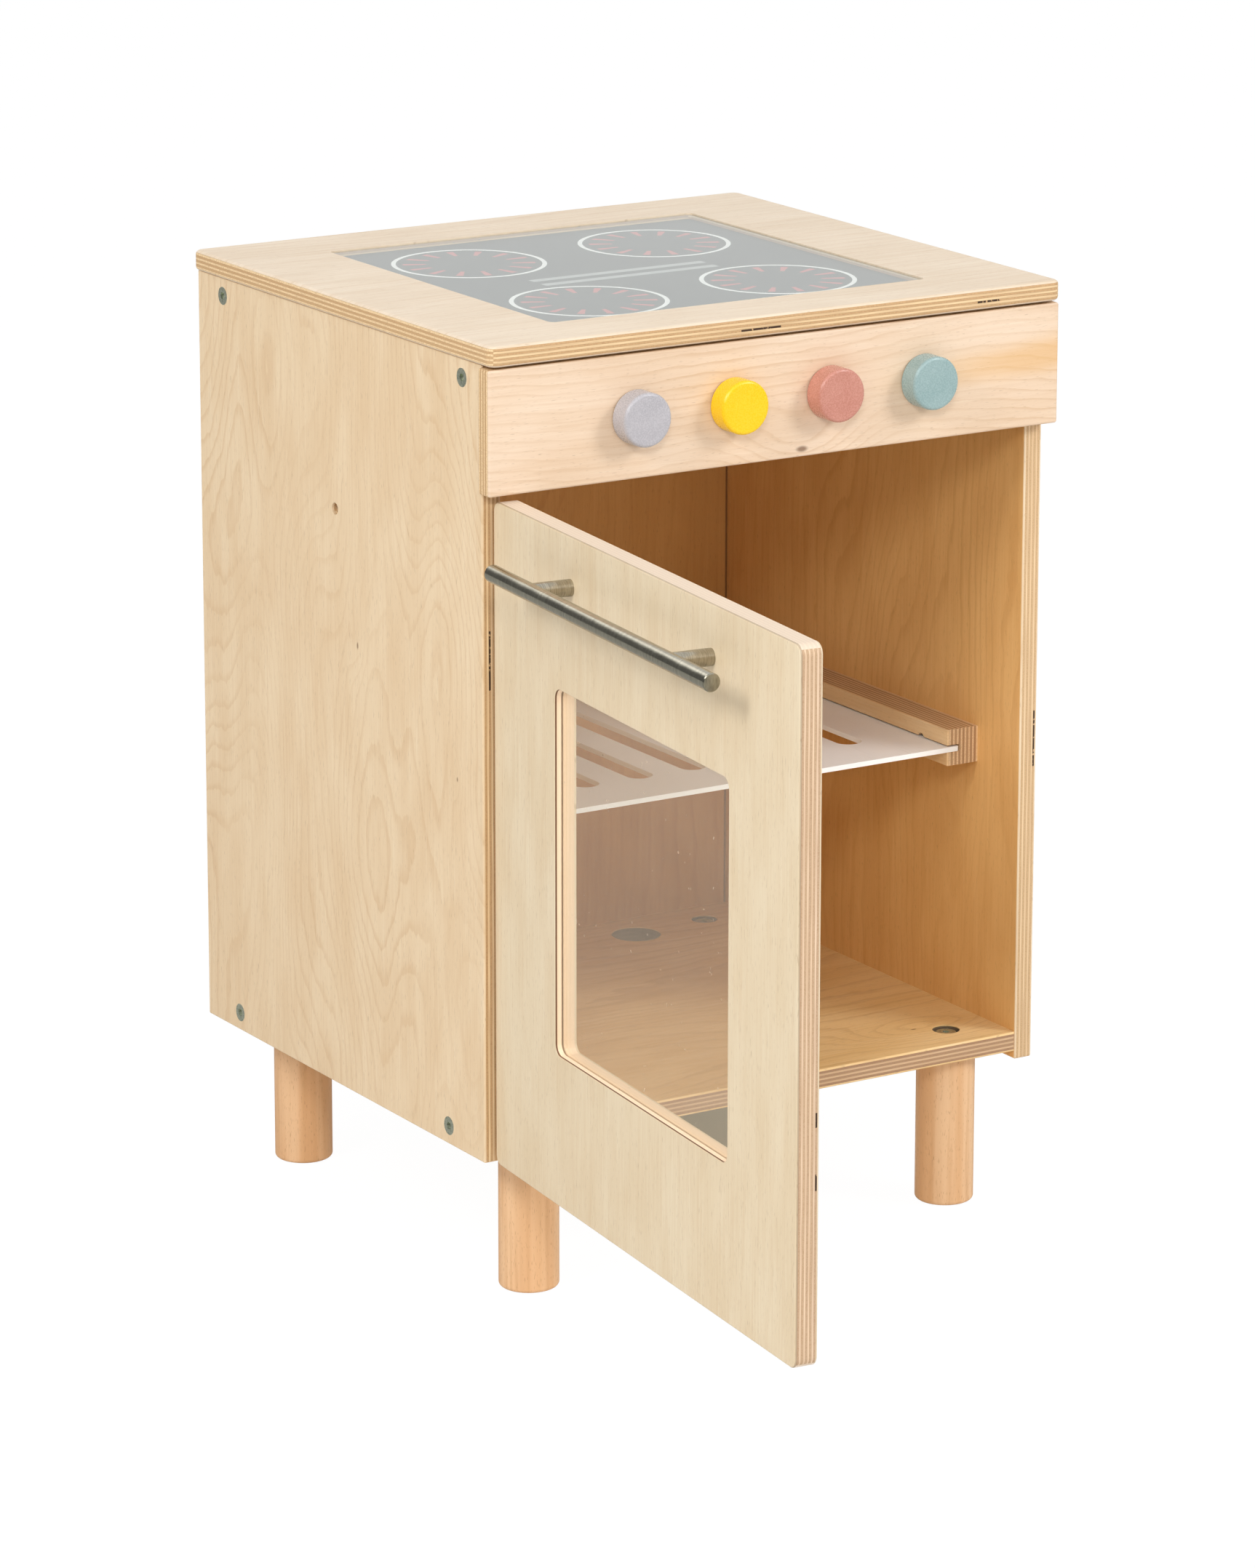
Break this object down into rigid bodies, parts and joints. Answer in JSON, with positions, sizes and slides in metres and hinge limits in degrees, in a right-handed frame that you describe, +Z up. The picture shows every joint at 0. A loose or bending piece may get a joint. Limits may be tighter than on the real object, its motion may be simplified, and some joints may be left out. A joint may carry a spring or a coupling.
{
  "type": "toy oven",
  "caption": "Child's toy oven: plywood cabinet on round legs with a flush printed hob, coloured turning knobs, an open windowed door with a bar handle and a sliding rack.",
  "frame": {"origin": "on the ground, under the middle of the box around the oven with its door open", "axes": "+X to the oven's right as seen from its front, +Y to its back, +Z up"},
  "size_m": [0.4333, 0.6994, 0.56],
  "materials": {
    "birch_ply": "clear-lacquered birch plywood",
    "birch_batten": "birch plywood batten",
    "beech": "turned beech",
    "white_sheet": "smooth white sheet",
    "clear_sheet": "clear acrylic",
    "hob_dark": "dark print with pale rings",
    "brushed_steel": "brushed",
    "washer_nylon": "natural nylon",
    "knob_lilac": "painted wood, satin",
    "knob_yellow": "painted wood, satin",
    "knob_rose": "painted wood, satin",
    "knob_teal": "painted wood, satin",
    "zinc_steel": "zinc-plated"
  },
  "bodies": {
    "cabinet": {"left_side_panel": "birch_ply", "right_side_panel": "birch_ply", "floor_panel": "birch_ply", "back_panel": "birch_ply", "front_top_rail": "birch_batten", "rear_top_rail": "birch_batten", "worktop": "birch_ply", "hob_print": "hob_dark", "hob_glass": "clear_sheet", "fascia": "birch_ply", "left_runner": "birch_batten", "right_runner": "birch_batten", "leg_front_left": "beech", "leg_rear_left": "beech", "leg_front_right": "beech", "leg_rear_right": "beech", "leg_inserts": "zinc_steel", "leg_bolts": "zinc_steel", "connector_screws": "zinc_steel", "worktop_screws": "zinc_steel", "runner_screws": "zinc_steel", "fascia_dowels": "beech", "back_panel_dowels": "beech", "hinge_cabinet_leaves": "zinc_steel", "hinge_cabinet_screws": "zinc_steel"},
    "door": {"door_front_layer": "birch_ply", "door_back_layer": "birch_ply", "door_pane": "clear_sheet", "handle_bar": "brushed_steel", "handle_posts": "brushed_steel", "handle_screws": "zinc_steel", "hinge_door_leaves": "zinc_steel", "hinge_pins": "zinc_steel", "hinge_door_screws": "zinc_steel"},
    "rack": {"rack": "white_sheet"},
    "knob_1": {"knob_1": "knob_lilac", "knob_1_washer": "washer_nylon", "knob_1_bolt": "zinc_steel"},
    "knob_2": {"knob_2": "knob_yellow", "knob_2_washer": "washer_nylon", "knob_2_bolt": "zinc_steel"},
    "knob_3": {"knob_3": "knob_rose", "knob_3_washer": "washer_nylon", "knob_3_bolt": "zinc_steel"},
    "knob_4": {"knob_4": "knob_teal", "knob_4_washer": "washer_nylon", "knob_4_bolt": "zinc_steel"}
  },
  "joints": [
    {"name": "door_hinge", "type": "hinge", "parent": "cabinet", "child": "door", "pos_m": [-0.15129, 0.00866, 0.27975], "axis": [0, 0, -1], "range_deg": [-95.7, 10]},
    {"name": "rack_slide", "type": "slide", "parent": "cabinet", "child": "rack", "axis": [0, -1, 0], "range_m": [0, 0.036]},
    {"name": "knob_1_turn", "type": "hinge", "parent": "cabinet", "child": "knob_1", "pos_m": [-0.07074, 0.00476, 0.511], "axis": [0, -1, 0], "continuous": true},
    {"name": "knob_2_turn", "type": "hinge", "parent": "cabinet", "child": "knob_2", "pos_m": [-0.00644, 0.00476, 0.511], "axis": [0, -1, 0], "continuous": true},
    {"name": "knob_3_turn", "type": "hinge", "parent": "cabinet", "child": "knob_3", "pos_m": [0.05786, 0.00476, 0.511], "axis": [0, -1, 0], "continuous": true},
    {"name": "knob_4_turn", "type": "hinge", "parent": "cabinet", "child": "knob_4", "pos_m": [0.12216, 0.00476, 0.511], "axis": [0, -1, 0], "continuous": true}
  ]
}
